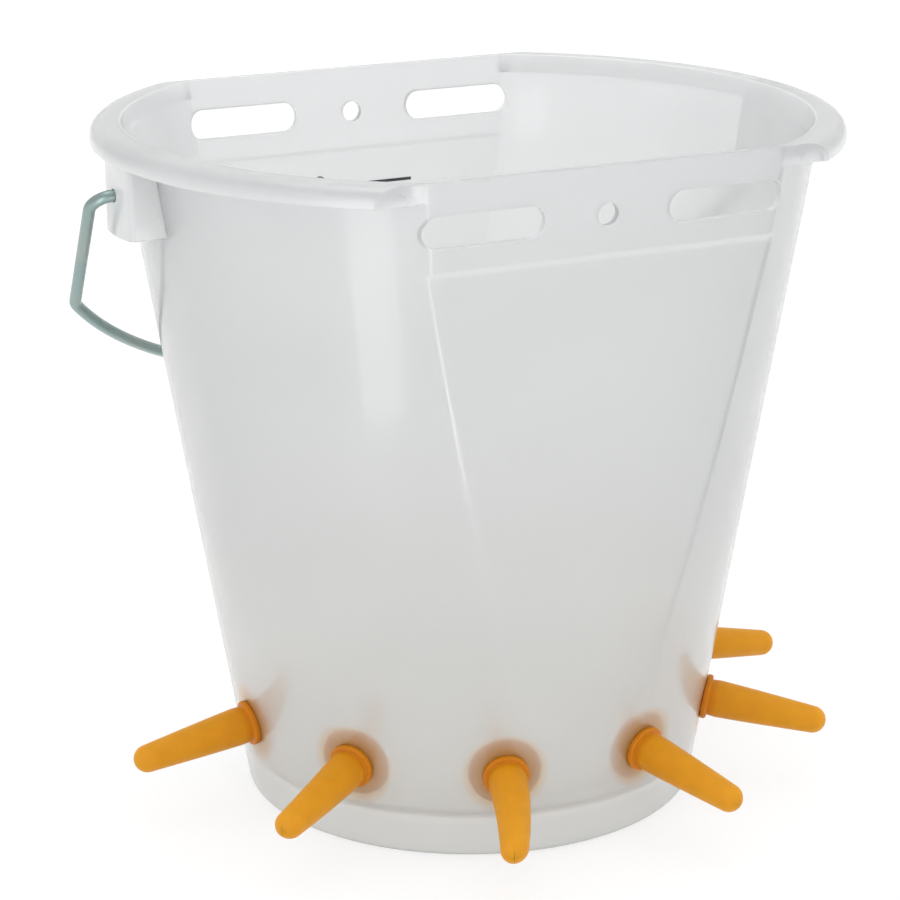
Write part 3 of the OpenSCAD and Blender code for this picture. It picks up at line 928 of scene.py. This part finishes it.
def latex():
    """Orange latex: satin, slightly see-through, deeper and darker in colour over the flange and collar."""
    material, tree, shader = new_material(
        "orange_latex", Subsurface_Weight=0.35, Subsurface_Radius=(1.0, 0.4, 0.1), Subsurface_Scale=0.003,
        IOR=1.5, Specular_IOR_Level=0.25)
    along = remap(tree, point_in(tree)[2], 0, 1, -FLANGE_T * MM, TEAT_L * MM)
    colour = ramp(tree, along, (
        (0.0, (0.68, 0.23, 0.003)), (0.10, (0.70, 0.24, 0.002)), (0.16, (0.80, 0.325, 0.004)),
        (0.6, (0.83, 0.355, 0.007)), (1.0, (0.85, 0.37, 0.012))))
    mottle = ramp(tree, noise(tree, 120, 6), ((0.35, (0.94, 0.93, 0.9)), (0.65, (1, 1, 1))))
    tree.links.new(product(tree, colour, mottle), shader.inputs["Base Color"])
    tree.links.new(remap(tree, noise(tree, 260, 4), 0.40, 0.52), shader.inputs["Roughness"])
    bump(tree, shader, noise(tree, 700, 3), 0.08, 0.0003)
    return material


def printing_ink():
    """Dark grey ink, slightly worn."""
    material, tree, shader = new_material("printing_ink", IOR=1.5)
    colour = ramp(tree, noise(tree, 500, 6), ((0.35, (0.035, 0.045, 0.05)), (0.7, (0.07, 0.08, 0.085))))
    tree.links.new(colour, shader.inputs["Base Color"])
    tree.links.new(remap(tree, noise(tree, 900, 4), 0.45, 0.6), shader.inputs["Roughness"])
    return material


def zinc_wire():
    """Zinc plated wire: drawn, with a faint green and straw passivation, and painted shade that darkens it
    from the bow up the legs towards the pivot.
    """
    material, tree, shader = new_material("zinc_plated_wire", Metallic=1.0)
    colour = ramp(tree, noise(tree, 55, 3, (1, 1, 0.4)), (
        (0.3, (0.37, 0.49, 0.475)), (0.5, (0.405, 0.51, 0.49)), (0.7, (0.48, 0.53, 0.48))))
    # Painted shade: the legs are darker than the bow, fading in over WIRE_FADE.
    bow_z = joints["bail_swing"]["pos_m"][2] / MM - BAIL_REACH / 2
    leg_shade_share = remap(tree, point_in(tree)[2], 0, 1, (bow_z - WIRE_FADE) * MM, (bow_z + WIRE_FADE) * MM)
    painted_leg_shade = ramp(tree, leg_shade_share, ((0.0, (1, 1, 1)), (1.0, (0.74, 0.77, 0.77))))
    tree.links.new(product(tree, colour, painted_leg_shade), shader.inputs["Base Color"])
    tree.links.new(remap(tree, noise(tree, 300, 6), 0.32, 0.4), shader.inputs["Roughness"])
    bump(tree, shader, noise(tree, 400, 2), 0.02, 0.0002)
    return material


def valve_plastic():
    """Plain moulded plastic of the valve seats and cages."""
    material, tree, shader = new_material("valve_plastic", IOR=1.49)
    colour = ramp(tree, noise(tree, 200, 4), ((0.3, (0.70, 0.69, 0.65)), (0.7, (0.76, 0.755, 0.72))))
    tree.links.new(colour, shader.inputs["Base Color"])
    tree.links.new(remap(tree, noise(tree, 400, 4), 0.38, 0.5), shader.inputs["Roughness"])
    bump(tree, shader, noise(tree, 900, 3), 0.1, 0.0002)
    return material


def valve_steel():
    """Polished stainless steel of the valve balls."""
    material, tree, shader = new_material("valve_steel", Metallic=1.0)
    colour = ramp(tree, noise(tree, 300, 4), ((0.3, (0.68, 0.68, 0.68)), (0.7, (0.74, 0.74, 0.75))))
    tree.links.new(colour, shader.inputs["Base Color"])
    tree.links.new(remap(tree, noise(tree, 800, 4), 0.12, 0.2), shader.inputs["Roughness"])
    return material


# Stage, in metres
WORLD_LIGHT = 0.92
MIRRORED_LIGHT = 0.8
FLOOR_GLOW = 0.72
FLOOR_R = 6
FLOOR_DROP = 0.0005
FLOOR_COLOUR = (0.9, 0.9, 0.9, 1)
SHADED_COLOUR = (0.35, 0.35, 0.35, 1)
OVER_FLOOR = 0.001

# The photograph's camera
SENSOR_W = 36
LENS = 115.38
CAMERA_AT = Vector((-0.52964, -1.07021, 0.51783))
CAMERA_FORWARD = Vector((0.41781, 0.85866, -0.29686))
CAMERA_ROLL = math.radians(-0.244)


def seen_ray(tree):
    """1 for what the camera, a gloss or a clear wall sees, and 0 for light that falls on the object."""
    rays = add_node(tree, "ShaderNodeLightPath").outputs
    direct = calc(tree, "MAXIMUM", rays["Is Camera Ray"], rays["Is Glossy Ray"])
    return calc(tree, "MAXIMUM", direct, rays["Is Transmission Ray"])


def mix_shaders(tree, lit, seen, output):
    """Lights the object by one shader and shows another to the camera, a gloss or a clear wall."""
    mix = add_node(tree, "ShaderNodeMixShader")
    tree.links.new(seen_ray(tree), mix.inputs["Fac"])
    tree.links.new(lit, mix.inputs[1])
    tree.links.new(seen, mix.inputs[2])
    tree.links.new(mix.outputs["Shader"], tree.nodes[output].inputs["Surface"])


def make_world():
    """An even surrounding, which is white where the camera sees it and a little less bright in a gloss."""
    world = bpy.data.worlds.new("studio")
    bpy.context.scene.world = world
    world.use_nodes = True
    tree = world.node_tree
    light = tree.nodes["Background"]
    light.inputs["Color"].default_value = (1, 1, 1, 1)
    light.inputs["Strength"].default_value = WORLD_LIGHT
    white = add_node(tree, "ShaderNodeBackground")
    white.inputs["Color"].default_value = (1, 1, 1, 1)
    direct = add_node(tree, "ShaderNodeLightPath").outputs["Is Camera Ray"]
    tree.links.new(remap(tree, direct, MIRRORED_LIGHT, 1, 0, 1), white.inputs["Strength"])
    mix_shaders(tree, light.outputs["Background"], white.outputs["Background"], "World Output")


def make_floor():
    """A pale floor that looks white where it is lit, and keeps the object's shadow."""
    bm = bmesh.new()
    bmesh.ops.create_circle(bm, cap_ends=True, segments=64, radius=FLOOR_R)
    bmesh.ops.translate(bm, verts=bm.verts, vec=(0, 0, -FLOOR_DROP))
    floor = mesh_object("floor", bm)
    material = bpy.data.materials.new("floor_white")
    material.use_nodes = True
    tree = material.node_tree
    tree.nodes.remove(tree.nodes["Principled BSDF"])
    plain = add_node(tree, "ShaderNodeBsdfDiffuse")
    plain.inputs["Color"].default_value = FLOOR_COLOUR
    shaded = add_node(tree, "ShaderNodeBsdfDiffuse")
    shaded.inputs["Color"].default_value = SHADED_COLOUR
    glow = add_node(tree, "ShaderNodeEmission")
    glow.inputs["Strength"].default_value = FLOOR_GLOW
    both = add_node(tree, "ShaderNodeAddShader")
    tree.links.new(shaded.outputs["BSDF"], both.inputs[0])
    tree.links.new(glow.outputs["Emission"], both.inputs[1])
    mix_shaders(tree, plain.outputs["BSDF"], both.outputs["Shader"], "Material Output")
    floor.data.materials.append(material)


def area_lamp(name, width, length, radiance):
    """A rectangular lamp of an even radiance, which the camera and clear walls don't see."""
    lamp = bpy.data.lights.new(name, "AREA")
    lamp.shape = "RECTANGLE"
    lamp.size = width
    lamp.size_y = length
    lamp.energy = radiance * math.pi * width * length
    panel = bpy.data.objects.new(name, lamp)
    bpy.context.scene.collection.objects.link(panel)
    panel.visible_camera = False
    panel.visible_transmission = False
    return panel


def make_panel(name, azimuth, distance, width, low, high, radiance):
    """An upright panel round the object that only shows in its gloss, azimuth from the front towards +X."""
    a = math.radians(azimuth)
    panel = area_lamp(name, width, high - low, radiance)
    panel.visible_diffuse = False
    panel.location = (distance * math.sin(a), -distance * math.cos(a), (low + high) / 2)
    inward = Vector((-math.sin(a), math.cos(a), 0))
    panel.rotation_euler = inward.to_track_quat("-Z", "Y").to_euler()


def make_floor_panel(name, x, y, width, length, turn, radiance):
    """A panel on the floor that faces up, turned about the upright, and only shows in the object's gloss."""
    panel = area_lamp(name, width, length, radiance)
    panel.visible_diffuse = False
    panel.location = (x, y, OVER_FLOOR)
    panel.rotation_euler = (math.pi, 0, math.radians(turn))


def make_top_light(height, size, radiance):
    area_lamp("top_light", size, size, radiance).location = (0, 0, height)


def make_camera():
    """The photograph's view: a long lens, a little to the left and above."""
    forward = CAMERA_FORWARD.normalized()
    level = forward.cross(Vector((0, 0, 1))).normalized()
    upright = level.cross(forward)
    right = level * math.cos(CAMERA_ROLL) + upright * math.sin(CAMERA_ROLL)
    up = upright * math.cos(CAMERA_ROLL) - level * math.sin(CAMERA_ROLL)
    lens = bpy.data.cameras.new("camera")
    lens.sensor_width = SENSOR_W
    lens.lens = LENS
    camera = bpy.data.objects.new("camera", lens)
    bpy.context.scene.collection.objects.link(camera)
    camera.matrix_world = Matrix((
        (right.x, up.x, -forward.x, CAMERA_AT.x),
        (right.y, up.y, -forward.y, CAMERA_AT.y),
        (right.z, up.z, -forward.z, CAMERA_AT.z),
        (0, 0, 0, 1),
    ))
    bpy.context.scene.camera = camera


make_camera()
make_world()
make_floor()
make_top_light(height=1.4, size=1.0, radiance=1.1)
make_panel("strip_panel", azimuth=-53.6, distance=0.405, width=0.098, low=0.005, high=0.36, radiance=1.75)
make_floor_panel("border_light", x=-0.066, y=-0.55, width=0.1, length=0.3, turn=-8, radiance=3.3)

plastic = bucket_plastic()
rubber = latex()
valve_material = valve_plastic()
ball_material = valve_steel()
make_bucket(plastic)
make_level_mark(printing_ink())
make_bail(zinc_wire())
for number in range(1, TEAT_COUNT + 1):
    make_teat(number, rubber)
    for kind, material in (("seat", valve_material), ("cage", valve_material), ("ball", ball_material)):
        node = nodes[f"valve_{kind}_{number}"]
        node.data.materials.clear()
        node.data.materials.append(material)

bpy.context.scene.view_settings.view_transform = "Standard"
